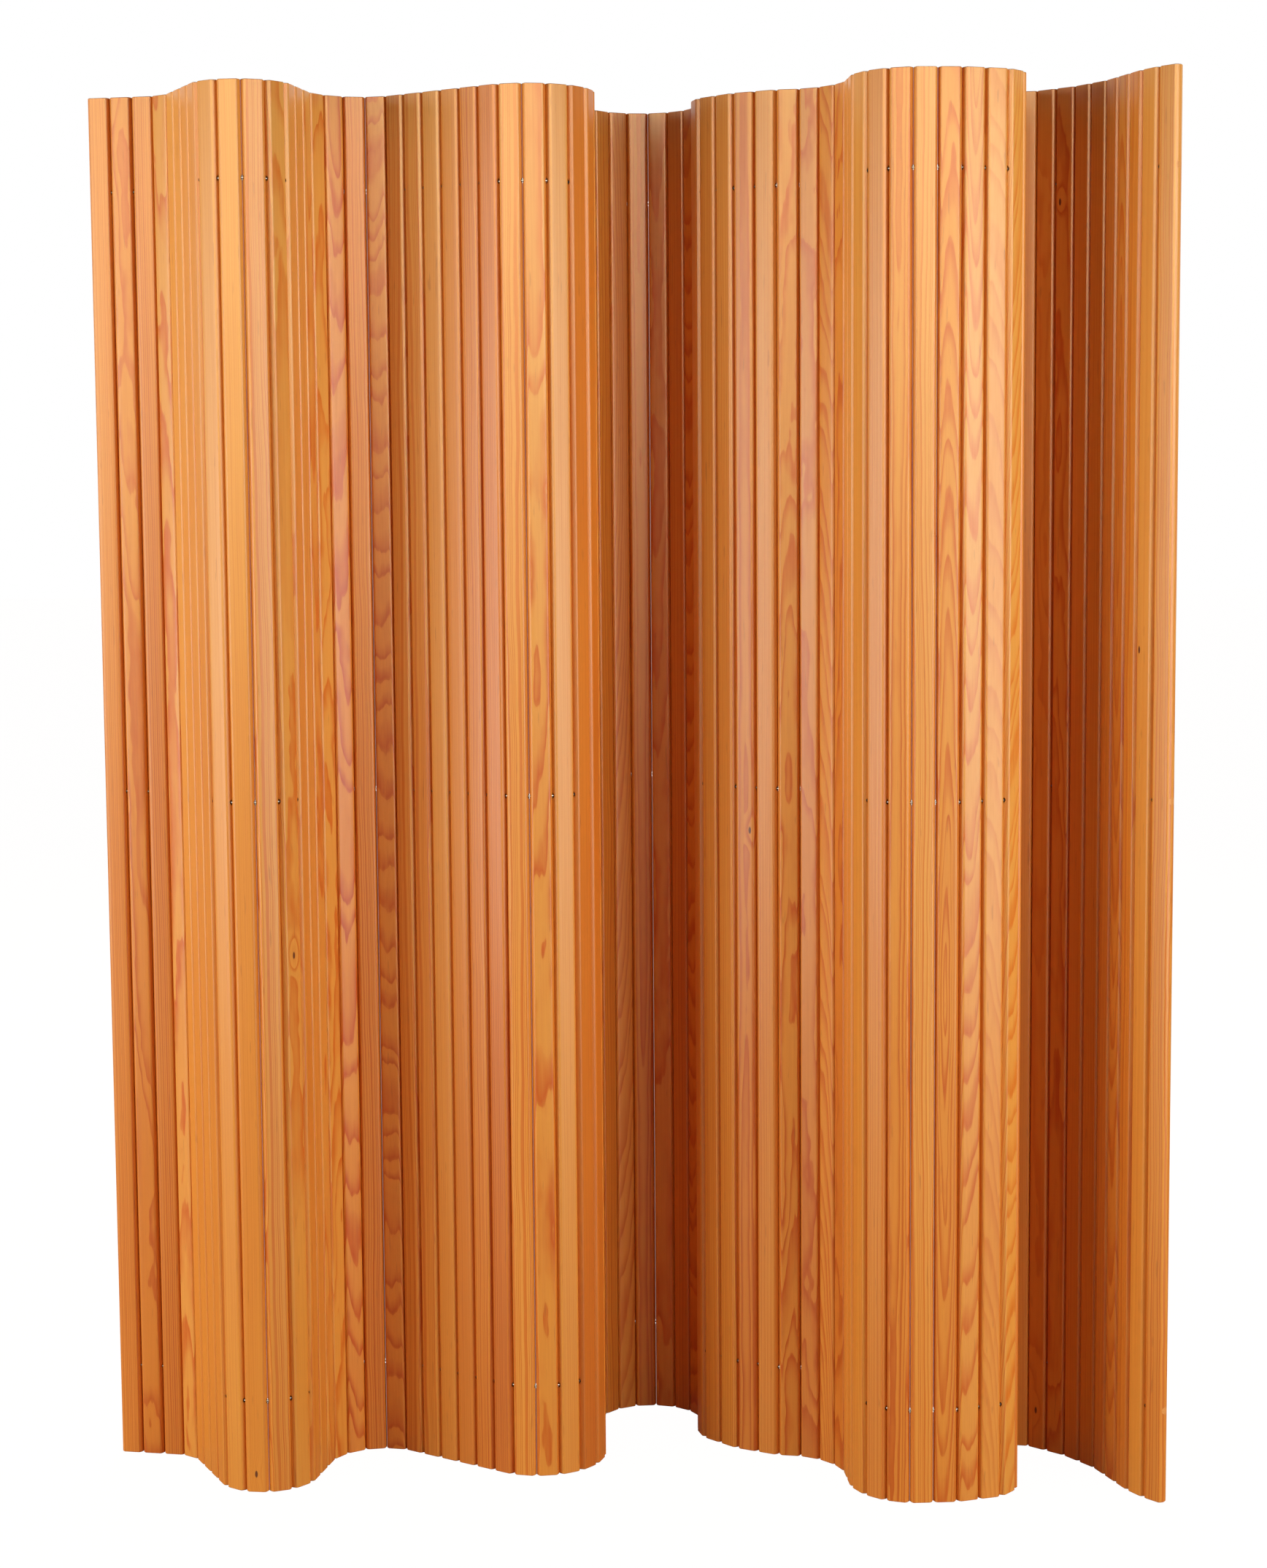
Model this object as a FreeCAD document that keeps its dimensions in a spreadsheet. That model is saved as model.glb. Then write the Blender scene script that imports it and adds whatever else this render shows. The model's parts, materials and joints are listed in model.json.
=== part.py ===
# Free-standing slatted screen: upright pine slats strung edge to edge on three wires, standing in waves.
# Frame: +X to the right along the screen, +Y away from the viewer, +Z up. The origin is on the floor,
# under the middle of the screen's plan. Millimetres and degrees.
import math
import os

import FreeCAD
import Part
import Sketcher

VECTOR = FreeCAD.Vector
UP = VECTOR(0, 0, 1)

# Driving sizes: alias, value.
SIZES = [
    ("slat_height", 1500),
    ("slat_width", 24),
    ("slat_thickness", 12),
    ("slat_gap", 1),
    ("nose_easing", 2),
    ("corner_radius", 3),
    ("wire_diameter", 2),
    ("wire_inset", 100),
    ("wire_tail", 1),
    ("bore_clearance", 0.75),
    ("stop_diameter", 6),
    ("stop_length", 5),
    ("stop_room", 1),
    ("plug_length", 4),
    ("plug_room", 2),
    ("fit_clearance", 0.05),
    ("start_heading", -10.5),
]

# The screen's waves from left to right, as it stands. Each wave is a row of hinges that all turn by the
# same angle, positive to the left seen from above. Columns: wave, hinges, turn at each hinge, slats that
# stay in line between two of its hinges, slats that stay in line after its last hinge.
FIRST_RUN = 3
WAVES = [
    ("left_return", 2, -26.7, 1, 4),
    ("first_bulge", 5, 28.3, 1, 3),
    ("first_hollow", 5, -22.4, 1, 6),
    ("second_bulge", 6, 21.3, 1, 5),
    ("far_hollow", 9, -22.1, 1, 1),
    ("back_corner", 2, 29.5, 1, 2),
    ("slow_curve", 2, 18.4, 2, 1),
    ("side_hollow", 4, -19.0, 1, 2),
    ("near_bulge_left", 4, 22.2, 1, 2),
    ("near_bulge_nose", 1, 14.5, 1, 2),
    ("near_bulge_right", 3, 32.2, 1, 3),
    ("right_hollow", 5, -31.3, 1, 2),
    ("right_sweep", 2, -14.5, 2, 3),
    ("right_end", 2, 10.9, 1, 1),
]

# A wire's arcs use this share of the bores' clearance, and reach no further than this share of the pitch.
SWAY_SHARE = 0.6
ARC_REACH = 0.48

doc = FreeCAD.newDocument("slatted_screen")


# Spreadsheet

sheet = doc.addObject("Spreadsheet::Sheet", "sizes")
cells = SIZES + [(wave + "_turn", turn) for wave, hinges, turn, inner, last in WAVES]
for row, (alias, value) in enumerate(cells, start=1):
    sheet.set("A%d" % row, alias)
    sheet.set("B%d" % row, str(value))
    sheet.setAlias("B%d" % row, alias)
doc.recompute()


def size(alias):
    """The value that the sheet holds under this alias."""
    return float(sheet.get(alias))


PITCH = size("slat_width") + size("slat_gap")

# Sizes that follow from others, each as a formula and as a number. A slat's nose is a little flatter than
# half round. The end bores take the stops with some room around them, then the wires' tails and the plugs.
NOSE = ("(sizes.slat_thickness / 2 + sizes.nose_easing)", size("slat_thickness") / 2 + size("nose_easing"))
BORE = ("sizes.wire_diameter + 2 * sizes.bore_clearance", size("wire_diameter") + 2 * size("bore_clearance"))
HOLE = ("sizes.wire_diameter + 2 * sizes.fit_clearance", size("wire_diameter") + 2 * size("fit_clearance"))
END_BORE = ("sizes.stop_diameter + 2 * sizes.stop_room", size("stop_diameter") + 2 * size("stop_room"))
END_DEPTH = (
    "(sizes.plug_length + sizes.plug_room + sizes.wire_tail + sizes.stop_length)",
    size("plug_length") + size("plug_room") + size("wire_tail") + size("stop_length"),
)

# Each wire's level above the floor, as a formula and as a number.
WIRES = [
    ("lower_wire", "sizes.wire_inset", size("wire_inset")),
    ("middle_wire", "sizes.slat_height / 2", size("slat_height") / 2),
    ("upper_wire", "sizes.slat_height - sizes.wire_inset", size("slat_height") - size("wire_inset")),
]

# Where things lie along an end slat, measured from the hinge line on its left.
LEFT_TIP = "sizes.slat_gap / 2"
RIGHT_TIP = "sizes.slat_width + sizes.slat_gap / 2"


# Plan of the screen

def plan_leaves():
    """Leaves of slats that stay in line: (first slat, number of slats, turn of the hinge before them)."""
    leaves = [(1, FIRST_RUN, 0.0)]
    for wave, hinges, turn, inner, last in WAVES:
        for hinge in range(hinges):
            first, count, before = leaves[-1]
            own_count = last if hinge == hinges - 1 else inner
            leaves.append((first + count, own_count, size(wave + "_turn")))
    return leaves


def plan_points(leaves):
    """Hinge points along the screen and the heading of each leaf, with the left end at the origin."""
    points = [VECTOR(0, 0, 0)]
    headings = []
    heading = size("start_heading")
    for first, count, turn in leaves:
        heading += turn
        angle = math.radians(heading)
        run = VECTOR(math.cos(angle), math.sin(angle), 0) * (count * PITCH)
        headings.append(heading)
        points.append(points[-1] + run)
    return points, headings


def leaf_name(first, count):
    """Node name of a leaf, from the numbers of its slats."""
    if count == 1:
        return "slat_%02d" % first
    return "slats_%02d_to_%02d" % (first, first + count - 1)


# Sketches

def origin_plane(body, role):
    """One of a body's own origin planes."""
    return [plane for plane in body.Origin.OriginFeatures if plane.Role == role][0]


def add_sketch(body, name, role, geometry, constraints, bindings):
    """Sketch on an origin plane of a body, its named constraints bound to the sheet."""
    sketch = body.newObject("Sketcher::SketchObject", name)
    sketch.AttachmentSupport = (origin_plane(body, role), [""])
    sketch.MapMode = "FlatFace"
    sketch.addGeometry(geometry, False)
    sketch.addConstraint(constraints)
    for index, (word, formula) in bindings:
        sketch.renameConstraint(index, word)
        sketch.setExpression("Constraints." + word, formula)
    return sketch


def arc(centre_x, centre_y, radius, first, last):
    """Arc of a circle in the sketch plane, counter-clockwise between two angles."""
    circle = Part.Circle(VECTOR(centre_x, centre_y, 0), UP, radius)
    return Part.ArcOfCircle(circle, first, last)


def slat_sketch(body, name):
    """Section of a leaf's first slat: two flat faces and two noses, with eased corners between them."""
    half = size("slat_thickness") / 2
    nose = NOSE[1]
    corner = size("corner_radius")
    rise = half - corner
    reach = math.sqrt((nose - corner) ** 2 - rise ** 2)
    meet = math.atan2(rise, reach)
    nose_left = size("slat_gap") / 2 + nose
    nose_right = nose_left + size("slat_width") - 2 * nose
    left = nose_left - reach
    right = nose_right + reach
    quarter = math.pi / 2
    geometry = [
        Part.LineSegment(VECTOR(left, -half, 0), VECTOR(right, -half, 0)),
        arc(right, -rise, corner, -quarter, -meet),
        arc(nose_right, 0, nose, -meet, meet),
        arc(right, rise, corner, meet, quarter),
        Part.LineSegment(VECTOR(right, half, 0), VECTOR(left, half, 0)),
        arc(left, rise, corner, quarter, math.pi - meet),
        arc(nose_left, 0, nose, math.pi - meet, math.pi + meet),
        arc(left, -rise, corner, math.pi + meet, 3 * quarter),
    ]
    start, end, centre = 1, 2, 3
    x_axis = origin = -1
    constraints = []
    for index in range(len(geometry)):
        after = (index + 1) % len(geometry)
        constraints.append(Sketcher.Constraint("Tangent", index, end, after, start))
    constraints += [
        Sketcher.Constraint("Horizontal", 0),
        Sketcher.Constraint("Horizontal", 4),
        Sketcher.Constraint("Equal", 1, 3),
        Sketcher.Constraint("Equal", 1, 5),
        Sketcher.Constraint("Equal", 1, 7),
        Sketcher.Constraint("Equal", 2, 6),
        Sketcher.Constraint("PointOnObject", 2, centre, x_axis),
        Sketcher.Constraint("PointOnObject", 6, centre, x_axis),
    ]
    sized = len(constraints)
    constraints += [
        Sketcher.Constraint("Radius", 1, corner),
        Sketcher.Constraint("Radius", 2, nose),
        Sketcher.Constraint("DistanceY", 0, start, 4, end, 2 * half),
        Sketcher.Constraint("DistanceY", 0, start, origin, start, half),
        Sketcher.Constraint("DistanceX", 6, centre, 2, centre, nose_right - nose_left),
        Sketcher.Constraint("DistanceX", origin, start, 6, centre, nose_left),
    ]
    bindings = enumerate([
        ("corner", "sizes.corner_radius"),
        ("nose", NOSE[0]),
        ("thickness", "sizes.slat_thickness"),
        ("half_thickness", "sizes.slat_thickness / 2"),
        ("between_noses", "sizes.slat_width - 2 * " + NOSE[0]),
        ("first_nose", LEFT_TIP + " + " + NOSE[0]),
    ], start=sized)
    return add_sketch(body, name, "XY_Plane", geometry, constraints, bindings)


def level_sketch(body, name, diameters, offset):
    """Circles at each wire's level, on a plane across the leaf at an offset from its left hinge line.
    Diameters are (word, (formula, value))."""
    centre = 3
    y_axis = -2
    geometry = []
    constraints = []
    words = []
    for word, (formula, value) in diameters:
        for wire, level_formula, level in WIRES:
            index = len(geometry)
            geometry.append(Part.Circle(VECTOR(0, level, 0), UP, value / 2))
            constraints.append(Sketcher.Constraint("Diameter", index, value))
            words.append((wire + "_" + word, formula))
            constraints.append(Sketcher.Constraint("DistanceY", -1, 1, index, centre, level))
            words.append((wire + "_" + word + "_level", level_formula))
    sized = len(constraints)
    for index in range(len(geometry)):
        constraints.append(Sketcher.Constraint("PointOnObject", index, centre, y_axis))
    sketch = add_sketch(body, name, "YZ_Plane", geometry, constraints, enumerate(words[:sized]))
    sketch.setExpression("AttachmentOffset.Base.z", offset)
    return sketch


# Slats

def add_body(name):
    """Empty body under its node's name."""
    body = doc.addObject("PartDesign::Body", name)
    body.Label = name
    body.AllowCompound = True
    return body


def add_leaf(first, count):
    """Leaf of slats in line, bored through for the wires. Its left hinge line is its own Z axis."""
    name = leaf_name(first, count)
    body = add_body(name)
    section = slat_sketch(body, name + "_section")
    pad = body.newObject("PartDesign::Pad", name + "_slat")
    pad.Profile = section
    pad.setExpression("Length", "sizes.slat_height")
    if count > 1:
        row = body.newObject("PartDesign::LinearPattern", name + "_row")
        row.Originals = [pad]
        row.Direction = (section, ["H_Axis"])
        row.Mode = "Spacing"
        row.Occurrences = count
        row.setExpression("Offset", "sizes.slat_width + sizes.slat_gap")
        body.Tip = row
    bores = body.newObject("PartDesign::Pocket", name + "_bores")
    bores.Profile = level_sketch(body, name + "_bore_circles", [("bore", BORE)], "0")
    bores.Type = "ThroughAll"
    bores.Reversed = True
    return body


def add_end_bores(body, offset, inward):
    """Wider bores for the stops and plugs, in the outer edge of an end slat."""
    name = body.Label + "_end_bores"
    bores = body.newObject("PartDesign::Pocket", name)
    bores.Profile = level_sketch(body, name + "_circles", [("end_bore", END_BORE)], offset)
    bores.Type = "Length"
    bores.setExpression("Length", END_DEPTH[0])
    bores.Reversed = inward


def add_stops(name, offset):
    """Crimped stops around the wires' ends, on the floors of an end slat's wide bores."""
    body = add_body(name)
    rings = [("stop", ("sizes.stop_diameter", size("stop_diameter"))), ("hole", HOLE)]
    pad = body.newObject("PartDesign::Pad", name + "_pad")
    pad.Profile = level_sketch(body, name + "_rings", rings, offset)
    pad.setExpression("Length", "sizes.stop_length")
    return body


def add_plugs(name, start, nose_centre):
    """Plugs in the mouths of an end slat's wide bores, rounded like the slat's nose."""
    cylinders = []
    for wire, level_formula, level in WIRES:
        cylinder = doc.addObject("Part::Cylinder", name + "_" + wire)
        cylinder.Placement = FreeCAD.Placement(VECTOR(0, 0, 0), FreeCAD.Rotation(VECTOR(0, 1, 0), 90))
        cylinder.setExpression("Radius", "(" + END_BORE[0] + ") / 2 - sizes.fit_clearance")
        cylinder.setExpression("Height", "sizes.plug_length")
        cylinder.setExpression("Placement.Base.x", start)
        cylinder.setExpression("Placement.Base.z", level_formula)
        cylinders.append(cylinder)
    row = doc.addObject("Part::MultiFuse", name + "_row")
    row.Shapes = cylinders
    nose = doc.addObject("Part::Cylinder", name + "_nose")
    nose.setExpression("Radius", NOSE[0])
    nose.setExpression("Height", "sizes.slat_height")
    nose.setExpression("Placement.Base.x", nose_centre)
    plugs = doc.addObject("Part::Common", name)
    plugs.Label = name
    plugs.Base = row
    plugs.Tool = nose
    return plugs


leaves = plan_leaves()
points, headings = plan_points(leaves)
leaf_bodies = [add_leaf(first, count) for first, count, turn in leaves]

add_end_bores(leaf_bodies[0], LEFT_TIP, True)
add_end_bores(leaf_bodies[-1], RIGHT_TIP, False)
left_fittings = [
    add_stops("left_wire_stops", LEFT_TIP + " + " + END_DEPTH[0] + " - sizes.stop_length"),
    add_plugs("left_plugs", LEFT_TIP, LEFT_TIP + " + " + NOSE[0]),
]
right_fittings = [
    add_stops("right_wire_stops", RIGHT_TIP + " - " + END_DEPTH[0]),
    add_plugs("right_plugs", RIGHT_TIP + " - sizes.plug_length", RIGHT_TIP + " - " + NOSE[0]),
]
doc.recompute()


# Places of the leaves and the end fittings, with the origin under the middle of the plan

def place(item, point, heading):
    item.Placement = FreeCAD.Placement(point, FreeCAD.Rotation(UP, heading))


for body, point, heading in zip(leaf_bodies, points, headings):
    place(body, point, heading)
plan = Part.makeCompound([body.Shape for body in leaf_bodies]).optimalBoundingBox(False)
middle = VECTOR(plan.Center.x, plan.Center.y, 0)
points = [point - middle for point in points]
for body, point, heading in zip(leaf_bodies, points, headings):
    place(body, point, heading)
for item in left_fittings:
    place(item, points[0], headings[0])
for item in right_fittings:
    place(item, points[-2], headings[-1])


# Wires: straight along each leaf, with an arc at each hinge that stays inside the bores

def wire_route(level):
    """Lines and arcs from one stop to the other, and the least radius of the arcs."""
    end_inset = size("slat_gap") / 2 + size("plug_length") + size("plug_room")
    sway_room = SWAY_SHARE * size("bore_clearance")
    directions = [VECTOR(math.cos(math.radians(h)), math.sin(math.radians(h)), 0) for h in headings]
    lift = UP * level
    here = points[0] + directions[0] * end_inset + lift
    edges = []
    least_radius = math.inf
    for index in range(1, len(leaves)):
        turn = abs(math.radians(leaves[index][2]))
        hinge = points[index] + lift
        if turn == 0:
            continue
        reach = min(sway_room / math.tan(turn / 4), ARC_REACH * PITCH)
        radius = reach / math.tan(turn / 2)
        sway = radius / math.cos(turn / 2) - radius
        inward = directions[index] - directions[index - 1]
        before = hinge - directions[index - 1] * reach
        after = hinge + directions[index] * reach
        crown = hinge + inward.normalize() * sway
        edges.append(Part.makeLine(here, before))
        edges.append(Part.Arc(before, crown, after).toShape())
        here = after
        least_radius = min(least_radius, radius)
    edges.append(Part.makeLine(here, points[-1] - directions[-1] * end_inset + lift))
    return Part.Wire(edges), least_radius


def add_wire(name, level):
    """Round wire swept along its route."""
    path, least_radius = wire_route(level)
    route = doc.addObject("Part::Feature", name + "_route")
    route.Shape = path
    ring = doc.addObject("Part::Circle", name + "_ring")
    ring.setExpression("Radius", "sizes.wire_diameter / 2")
    start = path.Edges[0]
    along = start.tangentAt(start.FirstParameter)
    ring.Placement = FreeCAD.Placement(start.Vertexes[0].Point, FreeCAD.Rotation(UP, along))
    wire = doc.addObject("Part::Sweep", name)
    wire.Label = name
    wire.Sections = [ring]
    wire.Spine = (route, ["Edge%d" % number for number in range(1, len(path.Edges) + 1)])
    wire.Solid = True
    return wire, path.Length, least_radius


wires = [add_wire(name, level) for name, formula, level in WIRES]
doc.recompute()


# Checks

def fail(words):
    raise RuntimeError(words)


nodes = leaf_bodies + left_fittings + right_fittings + [wire for wire, length, radius in wires]
for item in doc.Objects:
    if "Invalid" in item.State or "Error" in item.State:
        fail("failed object: " + item.Label)
for node in nodes:
    if node.Shape.isNull() or not node.Shape.isValid():
        fail("bad shape: " + node.Label)

bore_section = math.pi * BORE[1] ** 2 / 4
wide_section = math.pi * END_BORE[1] ** 2 / 4 - bore_section
for body, (first, count, turn) in zip(leaf_bodies, leaves):
    if len(body.Shape.Solids) != count:
        fail("wrong number of slats: " + body.Label)
    plain = [item for item in body.Group if item.TypeId == "PartDesign::Pad"][0].Shape.Volume * count
    bored = 3 * count * bore_section * size("slat_width")
    if body in (leaf_bodies[0], leaf_bodies[-1]):
        bored += 3 * wide_section * END_DEPTH[1]
    cut = (plain - body.Shape.Volume) / bored
    if not 0.9 < cut < 1.01:
        fail("bores missing: " + body.Label)
wire_section = math.pi * size("wire_diameter") ** 2 / 4
for wire, length, radius in wires:
    share = wire.Shape.Volume / (wire_section * length)
    print("%s: %.1f mm long, least bend radius %.1f mm, volume / (section x length) %.5f"
          % (wire.Label, length, radius, share))
    if abs(share - 1) > 0.002:
        fail("wire is not whole: " + wire.Label)


# Files

os.makedirs("parts", exist_ok=True)
for node in nodes:
    node.Shape.exportStep("parts/" + node.Label + ".step")
for body, point, heading in zip(leaf_bodies, points, headings):
    print("%s: left hinge line at %.3f, %.3f, heading %.2f" % (body.Label, point.x, point.y, heading))
print("%d nodes, %d slats" % (len(nodes), sum(count for first, count, turn in leaves)))
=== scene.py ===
# %% [markdown]
# # A slatted pine room divider
# The screen is a row of eighty upright pine slats, strung edge to edge on three steel wires, so
# that it stands in waves on the floor. The CAD frame gives the exact place of every slat. This
# lesson dresses that frame: each slat is made again as a mesh with its own piece of timber in it,
# and the wires are made again in lengths that bend at the gaps in the resting shape.

# %% Load the CAD frame
import json
import math
import random

import bmesh
import bpy
from mathutils import Matrix, Vector


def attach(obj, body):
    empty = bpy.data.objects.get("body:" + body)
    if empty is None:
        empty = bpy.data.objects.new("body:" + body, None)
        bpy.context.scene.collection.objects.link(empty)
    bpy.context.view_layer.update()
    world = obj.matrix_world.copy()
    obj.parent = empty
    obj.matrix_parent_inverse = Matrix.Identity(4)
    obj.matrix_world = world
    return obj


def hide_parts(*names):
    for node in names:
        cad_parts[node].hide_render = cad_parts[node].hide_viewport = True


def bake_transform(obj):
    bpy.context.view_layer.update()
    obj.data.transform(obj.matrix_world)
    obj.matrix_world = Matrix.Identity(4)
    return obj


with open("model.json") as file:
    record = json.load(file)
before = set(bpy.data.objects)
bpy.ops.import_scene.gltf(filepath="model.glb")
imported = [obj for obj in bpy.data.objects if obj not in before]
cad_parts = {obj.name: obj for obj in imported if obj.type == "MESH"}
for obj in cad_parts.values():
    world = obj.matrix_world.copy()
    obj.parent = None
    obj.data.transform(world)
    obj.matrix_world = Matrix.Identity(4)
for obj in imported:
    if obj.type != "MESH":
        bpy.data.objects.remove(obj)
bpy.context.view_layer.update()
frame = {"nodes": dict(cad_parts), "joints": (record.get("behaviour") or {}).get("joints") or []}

# %% [markdown]
# ## The camera
# The photograph is taken from about three metres in front of the screen, a little above the middle
# of it and tilted down, with a lens a bit longer than normal. The camera is set first, because all
# else is judged through it. It could be moved about by hand until the outlines agree; these values
# come from fitting the tops and feet of the slats instead, so the waves fall where the photograph
# has them.

# %% Camera
IMAGE_HEIGHT = 2149
FOCAL_PIXELS = 3840
SENSOR = 36
CAMERA_PLACE = (0.0049, -3.0618, 1.0624)
CAMERA_SWING = math.radians(-0.11)
CAMERA_DIP = math.radians(5.73)
CAMERA_ROLL = math.radians(-0.42)

camera_data = bpy.data.cameras.new("camera")
camera_data.sensor_fit = "VERTICAL"
camera_data.sensor_height = SENSOR
camera_data.lens = SENSOR * FOCAL_PIXELS / IMAGE_HEIGHT
camera_data.clip_start = 0.05
camera = bpy.data.objects.new("camera", camera_data)
stand_point = Matrix.Translation(CAMERA_PLACE)
swing = Matrix.Rotation(CAMERA_SWING, 4, "Z")
tilt = Matrix.Rotation(math.pi / 2 - CAMERA_DIP, 4, "X")
roll = Matrix.Rotation(CAMERA_ROLL, 4, "Z")
camera.matrix_world = stand_point @ swing @ tilt @ roll
bpy.context.scene.collection.objects.link(camera)
bpy.context.scene.camera = camera
print("lens of %.1f mm" % camera_data.lens)

# %% [markdown]
# ## Where the slats stand
# Slats that stand in line make a leaf, and each leaf turns on a hinge line halfway across the gap
# to the next. The frame's hinges are named for the slats on both sides of them, so the leaves can
# be read from the frame: a leaf starts at the hinge before its first slat and ends at the next one.
# Only the two end leaves have a free side, and their headings are given here.

# %% Leaves
SLATS = 80
PITCH = 0.025
FIRST_HEADING = math.radians(-10.5)
LAST_HEADING = math.radians(-49.5)

hinge_before = {}
for joint in frame["joints"]:
    hinge_before[int(joint["name"][-2:])] = Vector(joint["pos_m"][:2])


def heading_vector(heading):
    """Unit vector in plan."""
    return Vector((math.cos(heading), math.sin(heading)))


leaves = []
starts = [1] + sorted(hinge_before)
for number, first in enumerate(starts):
    following = starts[number + 1] if number + 1 < len(starts) else SLATS + 1
    count = following - first
    if first == 1:
        heading = FIRST_HEADING
        left = hinge_before[following] - count * PITCH * heading_vector(heading)
    elif following > SLATS:
        heading = LAST_HEADING
        left = hinge_before[first]
    else:
        left = hinge_before[first]
        run = hinge_before[following] - left
        heading = math.atan2(run.y, run.x)
    name = "slat_%02d" % first if count == 1 else "slats_%02d_to_%02d" % (first, following - 1)
    leaves.append((name, first, count, left, heading))
print(len(leaves), "leaves, the longest of", max(leaf[2] for leaf in leaves), "slats")

# %% [markdown]
# ## The form of a slat
# A slat is a strip of pine with flat faces and rounded edges, 24 mm wide and 12 mm thick, its ends
# sawn square and lightly sanded. Three bores cross it for the wires. A box with a bevel would give
# the outline, but not the slightly flattened noses, so the section is drawn from its arcs and swept
# up the slat row by row. Where two slats meet, the noses come to a slight ridge: it narrows the
# gap, so that no bright slit shows between slats that face the camera, and it is low enough to stay
# clear when a hinge is fully closed.

# %% Section of a slat
WIDTH = 0.024
THICKNESS = 0.012
HEIGHT = 1.5
NOSE = 0.008
CORNER = 0.003
NOSE_CENTRE = WIDTH / 2 - NOSE
CORNER_UP = THICKNESS / 2 - CORNER
CORNER_OUT = NOSE_CENTRE + math.sqrt((NOSE - CORNER) ** 2 - CORNER_UP ** 2)
MEET = math.atan2(CORNER_UP, CORNER_OUT - NOSE_CENTRE)
NOSE_LENGTH = NOSE * MEET
CORNER_LENGTH = CORNER * (math.pi / 2 - MEET)
HALF_ROUND = CORNER_OUT + CORNER_LENGTH + NOSE_LENGTH
RIDGE = 0.00045
RIDGE_REACH = 0.0019


def quarter_section(ridge, nose_steps=4, corner_steps=4, face_steps=2):
    """Points from the tip of the right nose to the middle of the back face."""
    points = []
    for step in range(nose_steps):
        angle = MEET * step / nose_steps
        up = NOSE * math.sin(angle)
        raised = ridge * max(0.0, 1 - up / RIDGE_REACH)
        points.append((NOSE_CENTRE + NOSE * math.cos(angle) + raised, up))
    for step in range(corner_steps):
        angle = MEET + (math.pi / 2 - MEET) * step / corner_steps
        points.append((CORNER_OUT + CORNER * math.cos(angle), CORNER_UP + CORNER * math.sin(angle)))
    for step in range(face_steps + 1):
        points.append((CORNER_OUT * (1 - step / face_steps), THICKNESS / 2))
    return points


def whole_section(left_ridge, right_ridge):
    """All points round a slat, from the tip of its right nose over the back."""
    right = quarter_section(right_ridge)
    left = quarter_section(left_ridge)
    half = right + [(-x, y) for x, y in reversed(left[:-1])]
    return half + [(x, -y) for x, y in reversed(half[1:-1])]


print(len(whole_section(RIDGE, RIDGE)), "points round a slat of", round(4000 * HALF_ROUND, 1), "mm girth")

# %% [markdown]
# All slats are alike in form, so one is made as a pattern and copied. The rows up the slat are
# close enough to keep the long faces from thin triangles. The bores are cut with a boolean, once,
# because it makes clean round mouths in the noses, where a hand-built patch of faces would be
# longer to write and no better to look at. The mouths are a little wider than the bores, where the
# drill has broken the edge; they show as dark dots.

# %% Pattern slat
EASED = 0.0006
ROWS = 30
LEVELS = (0.1, 0.75, 1.4)
BORE = 0.0035
MOUTH = 0.0056
MOUTH_DEPTH = 0.0016
OVER = 0.002
END_BORE = 0.008
END_DEPTH = 0.012
ROUND_SIDES = 20
SHARP = math.radians(40)


def swept_slat(left_ridge, right_ridge):
    """Slat without its bores, standing on the origin."""
    section = whole_section(left_ridge, right_ridge)
    rows = [(0, EASED)]
    rows += [(max(EASED, min(HEIGHT - EASED, HEIGHT * row / ROWS)), 0) for row in range(ROWS + 1)]
    rows += [(HEIGHT, EASED)]
    form = bmesh.new()
    rings = []
    for up, inset in rows:
        shrink_x = 1 - 2 * inset / WIDTH
        shrink_y = 1 - 2 * inset / THICKNESS
        rings.append([form.verts.new((x * shrink_x, y * shrink_y, up)) for x, y in section])
    for lower, upper in zip(rings, rings[1:]):
        for place in range(len(section)):
            after = (place + 1) % len(section)
            form.faces.new((lower[place], lower[after], upper[after], upper[place]))
    form.faces.new(list(reversed(rings[0])))
    form.faces.new(rings[-1])
    mesh = bpy.data.meshes.new("slat_pattern")
    form.to_mesh(mesh)
    form.free()
    return mesh


def bore_cutter(diameter, start, end):
    """Three level rods that cut the bores of a slat from start to end across it."""
    form = bmesh.new()
    for level in LEVELS:
        turn = Matrix.Rotation(math.pi / 2, 4, "Y")
        place = Matrix.Translation(((start + end) / 2, 0, level)) @ turn
        bmesh.ops.create_cone(
            form, cap_ends=True, segments=ROUND_SIDES, radius1=diameter / 2,
            radius2=diameter / 2, depth=end - start, matrix=place)
    mesh = bpy.data.meshes.new("bore_cutter")
    form.to_mesh(mesh)
    form.free()
    return bpy.data.objects.new("bore_cutter", mesh)


def mouth_cutter(sides):
    """Short cones that widen the mouths of the bores in the noses on these sides."""
    form = bmesh.new()
    for level in LEVELS:
        for side in sides:
            turn = Matrix.Rotation(side * math.pi / 2, 4, "Y")
            middle = side * (WIDTH / 2 - MOUTH_DEPTH / 2 + OVER / 2)
            place = Matrix.Translation((middle, 0, level)) @ turn
            slope = (MOUTH - BORE) / 2 / MOUTH_DEPTH
            bmesh.ops.create_cone(
                form, cap_ends=True, segments=ROUND_SIDES, radius1=BORE / 2,
                radius2=MOUTH / 2 + slope * OVER, depth=MOUTH_DEPTH + OVER, matrix=place)
    mesh = bpy.data.meshes.new("mouth_cutter")
    form.to_mesh(mesh)
    form.free()
    return bpy.data.objects.new("mouth_cutter", mesh)


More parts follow.
